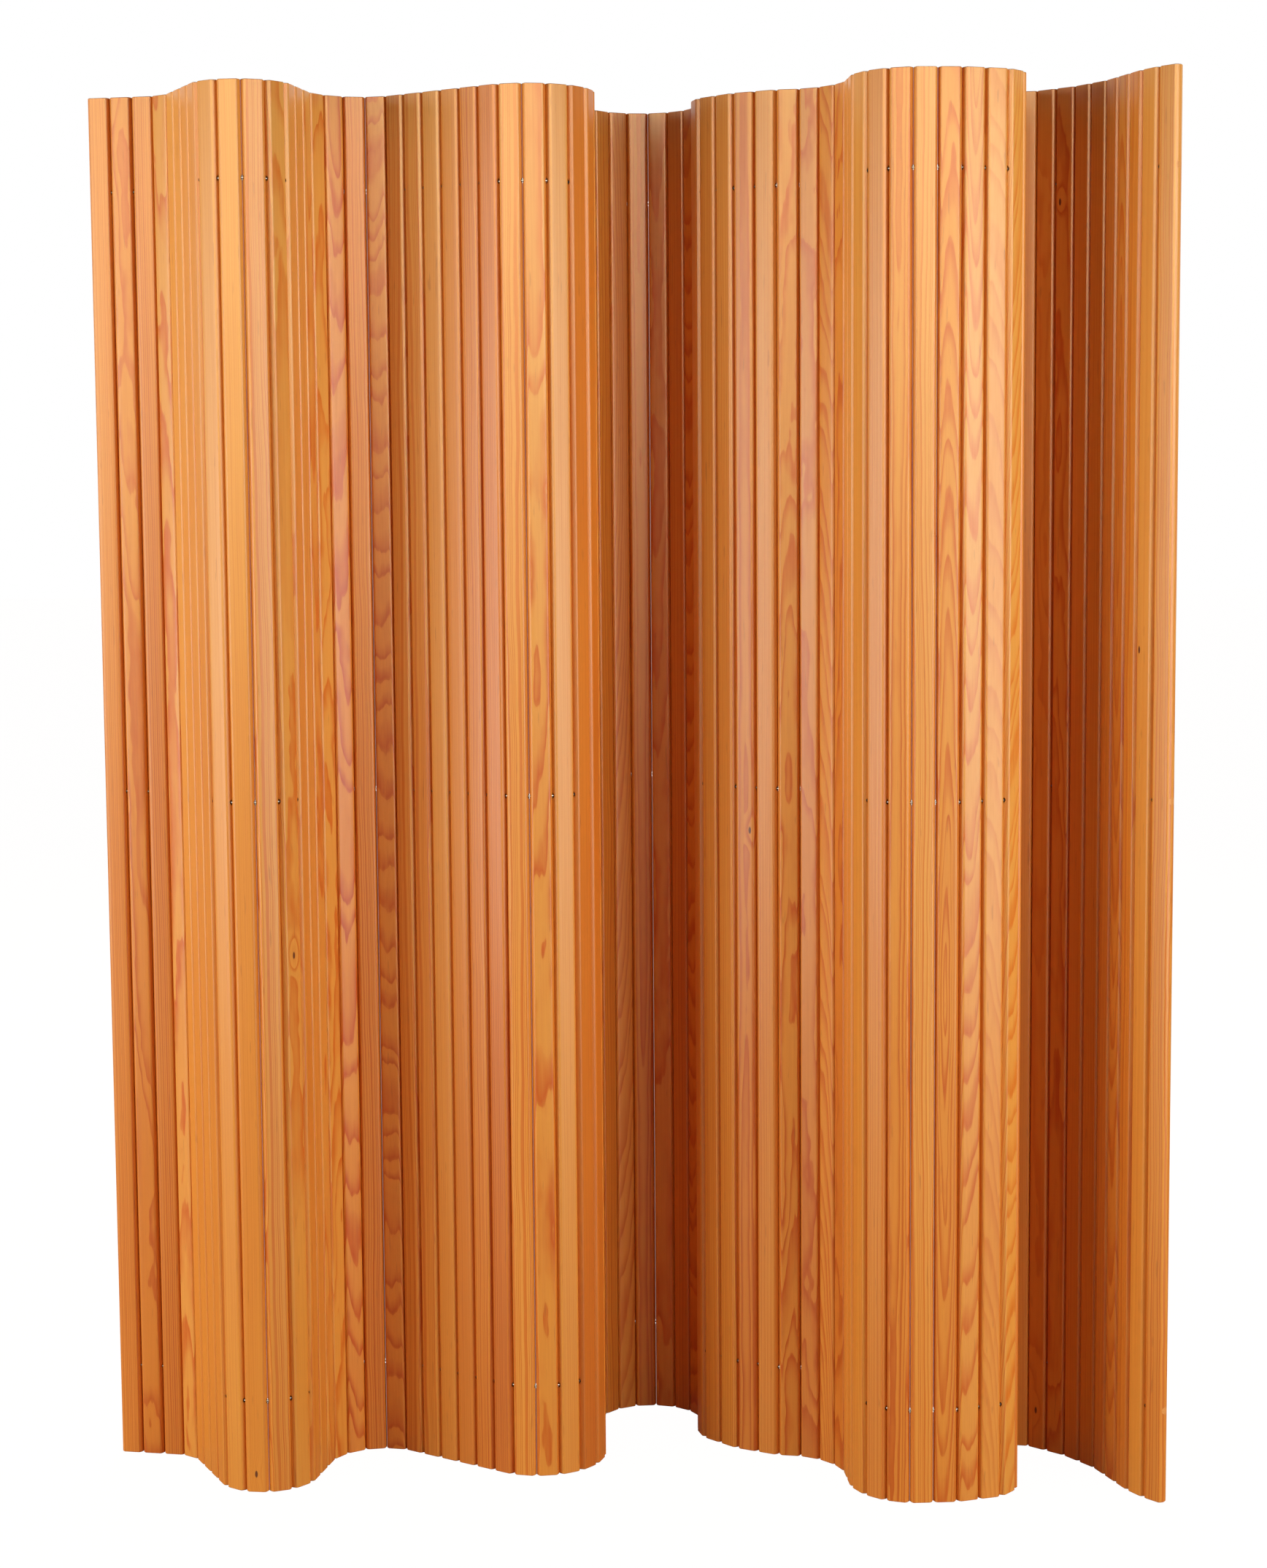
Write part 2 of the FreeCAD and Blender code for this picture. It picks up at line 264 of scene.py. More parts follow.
def bored(mesh, cutters):
    """A copy of a slat's mesh with the bores cut out."""
    slat = bpy.data.objects.new("slat_being_bored", mesh)
    bpy.context.scene.collection.objects.link(slat)
    for cutter in cutters:
        bpy.context.scene.collection.objects.link(cutter)
        cut = slat.modifiers.new("bores", "BOOLEAN")
        cut.operation = "DIFFERENCE"
        cut.solver = "EXACT"
        cut.object = cutter
    bpy.context.view_layer.update()
    shaped = slat.evaluated_get(bpy.context.evaluated_depsgraph_get())
    result = bpy.data.meshes.new_from_object(shaped)
    for done in [slat] + cutters:
        bpy.data.objects.remove(done)
    return result


def through_bores():
    """The bores that all slats have."""
    return bore_cutter(BORE, -WIDTH / 2 - OVER, WIDTH / 2 + OVER)


left_bores = bore_cutter(END_BORE, -WIDTH / 2 - OVER, -WIDTH / 2 + END_DEPTH)
right_bores = bore_cutter(END_BORE, WIDTH / 2 - END_DEPTH, WIDTH / 2 + OVER)
pattern = bored(swept_slat(RIDGE, RIDGE), [through_bores(), mouth_cutter((-1, 1))])
left_pattern = bored(swept_slat(0, RIDGE), [through_bores(), mouth_cutter((1,)), left_bores])
right_pattern = bored(swept_slat(RIDGE, 0), [through_bores(), mouth_cutter((-1,)), right_bores])
print("pattern slat:", len(pattern.vertices), "points,", len(pattern.polygons), "faces")

# %% [markdown]
# A slat is sixty times as high as it is wide, so a picture of its surface would be a thin thread.
# For the baked textures the slat is unrolled and cut into five strips that lie side by side in a
# square. The sawn ends and the bores go in the band that is left above them.

# %% Unrolled strips
STRIPS = 5
STRIP_HEIGHT = HEIGHT / STRIPS
STRIP_PITCH = 0.066
SHEET = STRIPS * STRIP_PITCH
BAND = STRIP_HEIGHT + 0.012
BAND_STEP = 0.03
ENDS_START = 0.02
BORES_START = 0.1
MARGIN = 0.001
BORE_SLACK = 0.0002


def round_the_slat(x, y):
    """Distance along the section from the middle of its face, positive on the right."""
    across = abs(x)
    if across <= CORNER_OUT:
        length = across
    else:
        angle = math.atan2(abs(y), across - NOSE_CENTRE)
        if angle > MEET:
            bend = math.atan2(abs(y) - CORNER_UP, across - CORNER_OUT)
            length = CORNER_OUT + CORNER * (math.pi / 2 - bend)
        else:
            length = CORNER_OUT + CORNER_LENGTH + NOSE * (MEET - angle)
    return math.copysign(length, x)


def unroll(mesh):
    """Writes the strips as the map that the textures are baked through."""
    sheet = mesh.uv_layers.new(name="OFBake")
    for face in mesh.polygons:
        middle = face.center
        level = min(LEVELS, key=lambda height: abs(height - middle.z))
        from_axis = math.hypot(middle.y, middle.z - level)
        in_bore = from_axis < END_BORE / 2 + BORE_SLACK and abs(face.normal.x) < 0.5
        strip = min(STRIPS - 1, int(middle.z / STRIP_HEIGHT))
        for corner in face.loop_indices:
            x, y, z = mesh.vertices[mesh.loops[corner].vertex_index].co
            if abs(face.normal.z) > 0.9 and not in_bore:
                place = (ENDS_START + x + (BAND_STEP if middle.z > HEIGHT / 2 else 0), BAND + y)
            elif in_bore:
                round_bore = math.atan2(y, z - level) * BORE / 2
                place = (BORES_START + BAND_STEP * LEVELS.index(level) + x, BAND + round_bore)
            else:
                length = round_the_slat(x, y)
                if middle.y > 0:
                    length = math.copysign(2 * HALF_ROUND, x) - length
                place = (strip * STRIP_PITCH + STRIP_PITCH / 2 + length, z - strip * STRIP_HEIGHT)
            sheet.data[corner].uv = (place[0] / SHEET, (place[1] + MARGIN) / SHEET)


for mesh in (pattern, left_pattern, right_pattern):
    unroll(mesh)
    mesh.shade_smooth()
    mesh.set_sharp_from_angle(angle=SHARP)
print("strips of %.0f mm in a sheet of %.0f mm" % (1000 * STRIP_HEIGHT, 1000 * SHEET))

# %% [markdown]
# ## Lacquered pine
# Pine shows pale wood grown in spring and a sharp dark edge grown late in the year. A slat cut far
# out in the trunk shows straight fine lines; one cut over the heart shows arches and flames. A
# picture of wood would repeat from slat to slat, so the timber is made as a solid: the rings are
# distances from the trunk's heart line, a little bent, and each slat is a different cut through it.
# The point in the trunk comes from an attribute of the mesh, so that the grain stays with its slat
# when the screen moves.

# %% Node helpers
def new_material(name):
    """An empty material's tree with its surface shader."""
    material = bpy.data.materials.new(name)
    material.use_nodes = True
    return material, material.node_tree, material.node_tree.nodes["Principled BSDF"]


def attribute(tree, name):
    """Vector that the mesh carries under this name."""
    found = tree.nodes.new("ShaderNodeAttribute")
    found.attribute_name = name
    return found.outputs["Vector"]


def own_place(tree):
    """A mesh's own coordinates, in metres."""
    return tree.nodes.new("ShaderNodeTexCoord").outputs["Object"]


def parts(tree, vector):
    """The three numbers of a vector."""
    made = tree.nodes.new("ShaderNodeSeparateXYZ")
    tree.links.new(vector, made.inputs[0])
    return made.outputs


def feed(tree, socket, value):
    """Links another node's socket, or sets a plain value."""
    if isinstance(value, bpy.types.NodeSocket):
        tree.links.new(value, socket)
    else:
        socket.default_value = value


def maths(tree, operation, *values):
    """Result of a sum on plain numbers."""
    made = tree.nodes.new("ShaderNodeMath")
    made.operation = operation
    for socket, value in zip(made.inputs, values):
        feed(tree, socket, value)
    return made.outputs[0]


def vectors(tree, operation, *values):
    """Result of a sum on vectors: a vector, or a number for a length."""
    made = tree.nodes.new("ShaderNodeVectorMath")
    made.operation = operation
    for socket, value in zip(made.inputs, values):
        feed(tree, socket, value)
    return made.outputs["Value" if operation == "LENGTH" else "Vector"]


def scaled(tree, vector, factor):
    """A vector times a number."""
    made = tree.nodes.new("ShaderNodeVectorMath")
    made.operation = "SCALE"
    feed(tree, made.inputs[0], vector)
    feed(tree, made.inputs["Scale"], factor)
    return made.outputs["Vector"]


def noise(tree, vector, stretch, detail=2.0, output="Fac"):
    """Soft noise with this many features per metre along each way."""
    made = tree.nodes.new("ShaderNodeTexNoise")
    made.inputs["Scale"].default_value = 1.0
    made.inputs["Detail"].default_value = detail
    feed(tree, made.inputs["Vector"], vectors(tree, "MULTIPLY", vector, stretch))
    return made.outputs[output]


def ramp(tree, value, stops):
    """Colour that follows a number through these stops."""
    made = tree.nodes.new("ShaderNodeValToRGB")
    feed(tree, made.inputs["Fac"], value)
    while len(made.color_ramp.elements) < len(stops):
        made.color_ramp.elements.new(0.5)
    for element, (place, colour) in zip(made.color_ramp.elements, stops):
        element.position = place
        element.color = tuple(colour) + (1.0,)
    return made.outputs["Color"]


def between(tree, value, start, end, low=0.0, high=1.0):
    """Number that goes smoothly from low to high as value goes from start to end."""
    made = tree.nodes.new("ShaderNodeMapRange")
    made.interpolation_type = "SMOOTHSTEP"
    names = ("Value", "From Min", "From Max", "To Min", "To Max")
    for name, given in zip(names, (value, start, end, low, high)):
        feed(tree, made.inputs[name], given)
    return made.outputs["Result"]


def mixed(tree, share, first, second, blend="MIX"):
    """Two colours mixed, through the node's sockets for colours."""
    made = tree.nodes.new("ShaderNodeMix")
    made.data_type = "RGBA"
    made.blend_type = blend
    feed(tree, made.inputs["Factor"], share)
    feed(tree, made.inputs[6], first)
    feed(tree, made.inputs[7], second)
    return made.outputs[2]


def grey(level):
    """A grey as a ramp's colour."""
    return (level, level, level)


def sway(tree, place, stretch):
    """Soft shifts to all sides."""
    return vectors(tree, "SUBTRACT", noise(tree, place, stretch, output="Color"), grey(0.5))


def emboss(tree, surface, height, strength, distance):
    """Fine relief of a surface that follows a number."""
    made = tree.nodes.new("ShaderNodeBump")
    made.inputs["Strength"].default_value = strength
    made.inputs["Distance"].default_value = distance
    tree.links.new(height, made.inputs["Height"])
    tree.links.new(made.outputs["Normal"], surface.inputs["Normal"])


print("node helpers ready")

# %% [markdown]
# The rings: the place in the trunk is bent a little by two noises, one long and one short along the
# grain, and its distance from the heart line counts the years. The year's own profile is a ramp,
# slow through the pale wood and quick at the dark edge. A knot swells the years around it, so that
# the lines swirl past it.

# %% Growth rings
YEAR = 0.0027
UNEVEN_YEARS = 1.7
SEASONS = ((0.0, grey(0.12)), (0.1, grey(0.0)), (0.45, grey(0.1)), (0.76, grey(0.72)), (0.9, grey(1.0)),
           (0.97, grey(0.75)), (1.0, grey(0.12)))
KNOT_REACH = 0.011
KNOT_SWELL = 0.0036
KNOT_EDGE = 0.0019
KNOT_CORE = 0.0011


def growth_rings(tree, place, knot, wander):
    """How much late wood there is at a point, and the share of a knot's dark heart."""
    bends = parts(tree, wander)
    bent = vectors(tree, "ADD", place, scaled(tree, sway(tree, place, (14, 14, 2.6)), bends["X"]))
    bent = vectors(tree, "ADD", bent, scaled(tree, sway(tree, place, (60, 60, 15)), bends["Y"]))
    radius = vectors(tree, "LENGTH", vectors(tree, "MULTIPLY", bent, (1, 1, 0)))
    from_knot = vectors(tree, "LENGTH", vectors(tree, "MULTIPLY", knot, (1, 0.4, 0)))
    radius = maths(tree, "ADD", radius, between(tree, from_knot, KNOT_REACH, 0.0, 0.0, KNOT_SWELL))
    years = maths(tree, "DIVIDE", radius, YEAR)
    slow = tree.nodes.new("ShaderNodeTexNoise")
    slow.noise_dimensions = "1D"
    slow.inputs["Scale"].default_value = 0.45
    slow.inputs["Detail"].default_value = 1.0
    tree.links.new(years, slow.inputs["W"])
    uneven = maths(tree, "MULTIPLY", slow.outputs["Fac"], UNEVEN_YEARS)
    season = maths(tree, "FRACT", maths(tree, "ADD", years, uneven))
    late = ramp(tree, season, SEASONS)
    heart = between(tree, from_knot, KNOT_EDGE, KNOT_CORE)
    return late, heart


print("a year's growth is %.1f mm" % (1000 * YEAR))

# %% [markdown]
# The colour: pine under old clear lacquer runs from honey to orange brown, and no two slats quite
# agree. Each slat carries a tone, the strength of its figure and a lean toward yellow or pink.
# Fibres, small resin flecks and slow drifts along the slat break up the even colour. On top of
# that the tone is painted paler at the tops and deeper at the feet, a painted sheen and a painted
# shade. Late wood is redder than the pale wood rather than darker. The lacquer is a thin satin
# coat over the wood. It sinks into the sawn ends, which are darker and dull; the surface's own
# upright direction tells where they are.

# %% Pine material
PALE_WOOD = ((0.0, (0.84, 0.415, 0.085)), (0.35, (0.79, 0.322, 0.044)), (0.7, (0.71, 0.235, 0.026)),
             (1.0, (0.57, 0.152, 0.02)))
LATE_WOOD = ((0.0, (0.72, 0.19, 0.014)), (0.35, (0.61, 0.116, 0.006)), (0.7, (0.5, 0.08, 0.005)),
             (1.0, (0.37, 0.054, 0.004)))
YELLOWISH = (1.0, 1.0, 0.88, 1)
PINKISH = (0.99, 0.96, 1.0, 1)
END_GRAIN = (0.33, 0.11, 0.025, 1)
FLECK = (0.36, 0.1, 0.02, 1)
KNOT = (0.14, 0.036, 0.01, 1)
FIBRES = ((0.25, (0.92, 0.84, 0.78)), (0.5, grey(0.98)), (0.75, (1.02, 1.06, 1.09)))
# Painted light: how much deeper the tone is painted at the feet and how much paler at the tops.
PAINTED_SHADE_AT_FEET = 0.1
PAINTED_SHEEN_AT_TOPS = -0.2
SHEEN = 0.3
LACQUER = 0.3
DULLEST = 0.46
SMOOTHEST = 0.36


def lacquered_pine(name):
    """Pine that reads its cut and its nature from the mesh."""
    material, tree, surface = new_material(name)
    place = attribute(tree, "wood_place")
    tone, figure, pink = parts(tree, attribute(tree, "wood_nature"))
    late, heart = growth_rings(tree, place, attribute(tree, "knot_place"), attribute(tree, "wood_wander"))
    drift = noise(tree, place, (10, 10, 1.7))
    drift_and_painted_sheen = maths(tree, "ADD", tone, between(tree, drift, 0.3, 0.7, -0.1, 0.1))
    # Painted light: the tone is painted deeper at the feet and paler at the tops, a painted shade and sheen.
    height = parts(tree, own_place(tree))["Z"]
    drift_and_painted_sheen = maths(tree, "ADD", drift_and_painted_sheen, between(tree, height, 0, HEIGHT, PAINTED_SHADE_AT_FEET, PAINTED_SHEEN_AT_TOPS))
    fibres = noise(tree, place, (520, 520, 7), detail=4.0)
    streaks = noise(tree, place, (150, 150, 2.2), detail=3.0)
    share = maths(tree, "MULTIPLY", late, figure)
    share = maths(tree, "MULTIPLY", share, between(tree, streaks, 0.25, 0.6, 0.6, 1.0))
    colour = mixed(tree, share, ramp(tree, drift_and_painted_sheen, PALE_WOOD), ramp(tree, drift_and_painted_sheen, LATE_WOOD))
    colour = mixed(tree, 1.0, colour, mixed(tree, pink, YELLOWISH, PINKISH), "MULTIPLY")
    colour = mixed(tree, 0.75, colour, ramp(tree, fibres, FIBRES), "MULTIPLY")
    flecks = between(tree, noise(tree, place, (330, 330, 26), detail=1.0), 0.69, 0.78, 0.0, 0.3)
    colour = mixed(tree, flecks, colour, FLECK)
    colour = mixed(tree, heart, colour, KNOT)
    facing = tree.nodes.new("ShaderNodeTexCoord").outputs["Normal"]
    sawn = between(tree, maths(tree, "ABSOLUTE", parts(tree, facing)["Z"]), 0.6, 0.95)
    colour = mixed(tree, maths(tree, "MULTIPLY", sawn, 0.5), colour, END_GRAIN)
    tree.links.new(colour, surface.inputs["Base Color"])
    dullness = between(tree, fibres, 0.2, 0.8, DULLEST, SMOOTHEST)
    dullness = maths(tree, "ADD", dullness, maths(tree, "MULTIPLY", share, -0.05))
    feed(tree, surface.inputs["Roughness"], maths(tree, "MULTIPLY_ADD", sawn, 0.4, dullness))
    emboss(tree, surface, maths(tree, "MULTIPLY_ADD", share, 0.4, fibres), 0.3, 0.0003)
    feed(tree, surface.inputs["Specular IOR Level"], maths(tree, "MULTIPLY_ADD", sawn, -0.25, SHEEN))
    feed(tree, surface.inputs["Coat Weight"], maths(tree, "MULTIPLY_ADD", sawn, -LACQUER, LACQUER))
    surface.inputs["Coat Roughness"].default_value = 0.3
    return material


pine = lacquered_pine("lacquered_pine")
print("pine nodes:", len(pine.node_tree.nodes))

# %% [markdown]
# ## Each slat its own cut
# Where a slat lay in the trunk decides its figure. With the heart line far to one side the grain is
# straight; behind the face it makes streaks and ladders; and the more it leans to the face, the
# closer the arches and bars follow each other. Each cut is given by the place of the heart line,
# its lean, how far the grain wanders and how strong the figure is. The slats that can be seen in
# the photograph are sorted into these cuts, and the hidden ones draw lots, from a seeded
# list that comes out the same every time.

# %% Cuts of the slats
CUTS = {
    "plain": {"heart": (0.1, 0.02), "lean": 0.002, "spread": 1.0, "wander": (0.006, 0.001), "figure": 0.3},
    "fine": {"heart": (0.13, 0.01), "lean": 0.001, "spread": 1.2, "wander": (0.006, 0.0012), "figure": 0.72},
    "lines": {"heart": (0.09, 0.03), "lean": 0.004, "spread": 0.9, "wander": (0.013, 0.0024), "figure": 0.85},
    "streak": {"heart": (0.001, 0.006), "lean": 0.002, "spread": 1.4, "wander": (0.007, 0.002), "figure": 1},
    "ladder": {"heart": (0.001, 0.045), "lean": 0.009, "spread": 1, "wander": (0.014, 0.003), "figure": 0.95},
    "patches": {"heart": (0.006, 0.05), "lean": 0.013, "spread": 1.1, "wander": (0.02, 0.004), "figure": 0.9},
    "waves": {"heart": (0.002, 0.03), "lean": 0.045, "spread": 0.9, "wander": (0.018, 0.0034), "figure": 1.0},
    "arches": {"heart": (0.0, 0.01), "lean": 0.04, "spread": 1.1, "wander": (0.01, 0.0022), "figure": 0.95},
    "bars": {"heart": (0.0, 0.085), "lean": 0.065, "spread": 1.0, "wander": (0.01, 0.0025), "figure": 0.85},
    "slant": {"heart": (0.013, 0.05), "lean": 0.06, "spread": 1.0, "wander": (0.01, 0.0022), "figure": 0.85},
}
SORTED = {
    "plain": (5, 6, 9, 10, 22, 23, 28, 29, 30, 45, 71, 74, 79),
    "fine": (1, 3, 7, 8, 25, 41, 46, 47, 49, 56, 57, 75),
    "lines": (11, 13, 14, 18, 20, 21, 24, 26, 37, 59, 76, 78, 80),
    "streak": (39, 48, 58),
    "ladder": (4, 12, 15, 27, 40),
    "patches": (2, 16, 50, 51, 53, 72, 73),
    "waves": (17,),
    "arches": (60, 61, 77),
    "bars": (19, 42),
    "slant": (38, 52, 62, 63),
}
DARK = (25, 29, 30, 53)
DEEP = (2, 3, 18, 19, 24, 41, 42, 48, 72, 73, 77)
ORANGE = (1, 17, 23, 37, 38, 45, 58, 74, 76, 78)
PALE = (4, 9, 13, 14, 16, 20, 21, 22, 26, 27, 28, 49, 56, 59, 61, 62, 75, 79)
BLOND = (12, 15, 40, 63)
PINK = (1, 18, 22, 23, 26, 38, 39, 40, 49, 51, 57, 59, 61, 62)
FAINT = (62, 72)
KNOTS = {10: (0.0, 0.02), 12: (0.0, 0.584), 48: (0.006, 0.703), 72: (0.0, 0.044), 73: (-0.005, 1.38),
         79: (-0.006, 0.906)}
NO_KNOT = (1.0, 1.0)
DEPTHS = ((DARK, 0.74), (DEEP, 0.54), (ORANGE, 0.46), (PALE, 0.26), (BLOND, 0.13))
COMMON_DEPTH = 0.37
FAINTNESS = 0.5
PINK_LEAN = 0.62
COMMON_LEAN = 0.25
SEED = 1000
APART = 20.0

cut_of = {slat: cut for cut, slats in SORTED.items() for slat in slats}


def tone_of(slat):
    """Depth of a slat's colour, from pale to dark."""
    return next((depth for slats, depth in DEPTHS if slat in slats), COMMON_DEPTH)


def write_attribute(mesh, name, values):
    """Stores one vector for each point of a mesh."""
    held = mesh.attributes.new(name, "FLOAT_VECTOR", "POINT")
    held.data.foreach_set("vector", [part for value in values for part in value])


def lay_in_timber(mesh, slat):
    """Gives a slat's mesh its place in the trunk, its nature and its knot."""
    dice = random.Random(SEED + slat)
    lot = dice.choice(("plain", "fine", "lines", "ladder", "slant"))
    name = cut_of.get(slat, lot)
    cut = CUTS[name]
    heart_x = cut["heart"][0] * dice.choice((-1, 1)) * dice.uniform(0.8, 1.2)
    heart_y = cut["heart"][1] * dice.uniform(0.8, 1.2)
    lean = cut["lean"] * dice.choice((-1, 1)) * dice.uniform(0.8, 1.2)
    side_lean = dice.uniform(-0.004, 0.004)
    spread = cut["spread"] * dice.uniform(0.88, 1.12)
    along = APART * slat
    middle = dice.uniform(0.2, 1.3)
    knot_x, knot_z = KNOTS.get(slat, NO_KNOT)
    places, knots = [], []
    for point in mesh.vertices:
        x, y, z = point.co
        off_heart = (x - heart_x + side_lean * (z - middle), y - heart_y + lean * (z - middle))
        places.append((off_heart[0] * spread, off_heart[1] * spread, z + along))
        knots.append((x - knot_x, z - knot_z, 0))
    tone = tone_of(slat) + dice.uniform(-0.05, 0.05)
    figure = cut["figure"] * dice.uniform(0.85, 1.1) * (FAINTNESS if slat in FAINT else 1.0)
    pink = (PINK_LEAN if slat in PINK else COMMON_LEAN) + dice.uniform(-0.12, 0.12)
    write_attribute(mesh, "wood_place", places)
    write_attribute(mesh, "knot_place", knots)
    write_attribute(mesh, "wood_nature", [(tone, figure, pink)] * len(mesh.vertices))
    write_attribute(mesh, "wood_wander", [cut["wander"] + (0.0,)] * len(mesh.vertices))
    return name


print("slats sorted by eye:", len(cut_of), "knots:", len(KNOTS))

# %% [markdown]
# ## Stringing the screen
# Every slat is a copy of the pattern at its place in its leaf. It rides on the leaf's body, so the
# hinges carry it, and it stands in for the leaf's plain CAD solid.

# %% Slats
def placed(spot, heading):
    """Move that takes a piece from the origin to its spot in the plan, turned to its heading."""
    return Matrix.Translation((spot.x, spot.y, 0)) @ Matrix.Rotation(heading, 4, "Z")


kinds = {}
for leaf, first, count, left, heading in leaves:
    for order in range(count):
        slat = first + order
        source = left_pattern if slat == 1 else right_pattern if slat == SLATS else pattern
        mesh = source.copy()
        mesh.name = "pine_slat_%02d" % slat
        kind = lay_in_timber(mesh, slat)
        kinds[kind] = kinds.get(kind, 0) + 1
        mesh.materials.clear()
        mesh.materials.append(pine)
        piece = bpy.data.objects.new("pine_slat_%02d" % slat, mesh)
        bpy.context.scene.collection.objects.link(piece)
        mesh.transform(placed(left + (order + 0.5) * PITCH * heading_vector(heading), heading))
        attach(piece, leaf)
        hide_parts(leaf)
for mesh in (pattern, left_pattern, right_pattern):
    bpy.data.meshes.remove(mesh)
print("slats by cut:", kinds)

# %% [markdown]
# ## The wires
# Three steel wires run through all the slats and bend at the gaps. In the CAD model each is one
# rigid solid in its resting shape. Here every hinge has its own length of the three wires, from the
# middle of a leaf's first slat to the same place in the next leaf, so that the joints are hidden in
# the bores. A straight run for each leaf would break at the hinges; a length that is blended from
# one leaf to the next bends through the resting turn of the hinge and stays whole.

# %% Steel wire
TARNISH = (0.2, 0.17, 0.14, 1)
WIRE = 0.002
WIRE_SIDES = 10
BEND = 0.003
BEND_STEPS = 5
JOIN = 0.00005
WIRE_END = 0.0065


def drawn_steel():
    """Bright drawn wire with fine lines along it and a little dullness."""
    material, tree, surface = new_material("drawn_steel")
    place = attribute(tree, "wire_place")
    lines = noise(tree, place, (30, 2600, 2600), detail=3.0)
    dulled = noise(tree, place, (90, 300, 300), detail=2.0)
    bright = ramp(tree, lines, ((0.3, (0.34, 0.33, 0.32)), (0.7, (0.52, 0.51, 0.5))))
    tarnish = between(tree, dulled, 0.45, 0.7, 0.0, 0.6)
    tree.links.new(mixed(tree, tarnish, bright, TARNISH), surface.inputs["Base Color"])
    tree.links.new(between(tree, dulled, 0.3, 0.7, 0.3, 0.5), surface.inputs["Roughness"])
    surface.inputs["Metallic"].default_value = 1.0
    emboss(tree, surface, lines, 0.2, 0.0001)
    return material


def eased(share):
    """A share from 0 to 1 that starts and ends gently."""
    inside = max(0.0, min(1.0, share))
    return inside * inside * (3 - 2 * inside)


def bent_line(hinge, heading, turned, before, after):
    """Points in plan along a wire that turns at a hinge, each with its distance from the hinge."""
    steps = [BEND * step / BEND_STEPS for step in range(-BEND_STEPS, BEND_STEPS + 1)]
    points = []
    for along in [-before] + steps + [after]:
        share = eased((along + BEND) / (2 * BEND))
        points.append((hinge + along * heading_vector(heading + share * (turned - heading)), along))
    return points


def wire_lengths(line, counted):
    """Three level wires along a line in plan; their surface carries its place along the screen."""
    form = bmesh.new()
    surface_places = []
    for level in LEVELS:
        rings = []
        for number, (point, along) in enumerate(line):
            ahead = line[min(number + 1, len(line) - 1)][0] - line[max(number - 1, 0)][0]
            across = Vector((-ahead.y, ahead.x)).normalized()
            ring = []
            for side in range(WIRE_SIDES):
                angle = 2 * math.pi * side / WIRE_SIDES
                out, up = WIRE / 2 * math.cos(angle), WIRE / 2 * math.sin(angle)
                spot = point + out * across
                ring.append(form.verts.new((spot.x, spot.y, level + up)))
                surface_places.append((counted + along, out, level + up))
            rings.append(ring)
        for near, far in zip(rings, rings[1:]):
            for side in range(WIRE_SIDES):
                following = (side + 1) % WIRE_SIDES
                form.faces.new((near[side], far[side], far[following], near[following]))
        form.faces.new(rings[0])
        form.faces.new(rings[-1])
    bmesh.ops.recalc_face_normals(form, faces=form.faces)
    mesh = bpy.data.meshes.new("wire_lengths")
    form.to_mesh(mesh)
    form.free()
    write_attribute(mesh, "wire_place", surface_places)
    mesh.shade_smooth()
    mesh.set_sharp_from_angle(angle=SHARP)
    return mesh


steel = drawn_steel()
for near_leaf, far_leaf in zip(leaves, leaves[1:]):
    near_name, first, count, _, heading = near_leaf
    far_name, next_first, next_count, hinge, turned = far_leaf
    before = count * PITCH - (WIRE_END if first == 1 else PITCH / 2 + JOIN)
    after = PITCH / 2 - JOIN
    if next_first + next_count > SLATS:
        after = next_count * PITCH - WIRE_END
    mesh = wire_lengths(bent_line(hinge, heading, turned, before, after), PITCH * (next_first - 1))
    mesh.materials.append(steel)
    piece = bpy.data.objects.new("wires_before_slat_%02d" % next_first, mesh)
    bpy.context.scene.collection.objects.link(piece)
    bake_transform(piece)
    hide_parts("upper_wire", "middle_wire", "lower_wire")
print("lengths of wire:", 3 * (len(leaves) - 1))

# %% [markdown]
# ## Stops and plugs
# At both ends of the screen the wires are held by crimped rings in wide bores, and the bores are
# closed with round pine plugs, cut flush with the nose of the slat. The CAD solids have the right
# shape and stay, with materials that read their own place: end grain on the plugs, which is what a
# dowel shows, and dull steel.

# %% Stop and plug materials
PLUG_PALE = (0.86, 0.4, 0.105, 1)
PLUG_LATE = (0.66, 0.22, 0.036, 1)
PLUG_YEAR = 0.0016
PLUG_SHIFT = (0, 0, 0.018)
PLUG_SEASONS = ((0.1, grey(0.0)), (0.6, grey(0.2)), (0.9, grey(0.9)), (1.0, grey(0.1)))


def plug_pine():
    """End grain of a pine dowel: years across the round face, under the same lacquer as the slat."""
    material, tree, surface = new_material("plug_pine")
    place = own_place(tree)
    bend = scaled(tree, sway(tree, place, (90, 90, 90)), 0.002)
    bent = vectors(tree, "ADD", vectors(tree, "ADD", place, PLUG_SHIFT), bend)
    season = maths(tree, "FRACT", maths(tree, "DIVIDE", parts(tree, bent)["Z"], PLUG_YEAR))
    colour = mixed(tree, ramp(tree, season, PLUG_SEASONS), PLUG_PALE, PLUG_LATE)
    pores = noise(tree, place, (1500, 1500, 1500), detail=2.0)
    shade = ramp(tree, pores, ((0.3, grey(0.86)), (0.6, grey(1.0))))
    tree.links.new(mixed(tree, 0.8, colour, shade, "MULTIPLY"), surface.inputs["Base Color"])
    tree.links.new(between(tree, pores, 0.3, 0.7, 0.56, 0.42), surface.inputs["Roughness"])
    surface.inputs["Specular IOR Level"].default_value = SHEEN
    emboss(tree, surface, pores, 0.2, 0.0001)
    return material


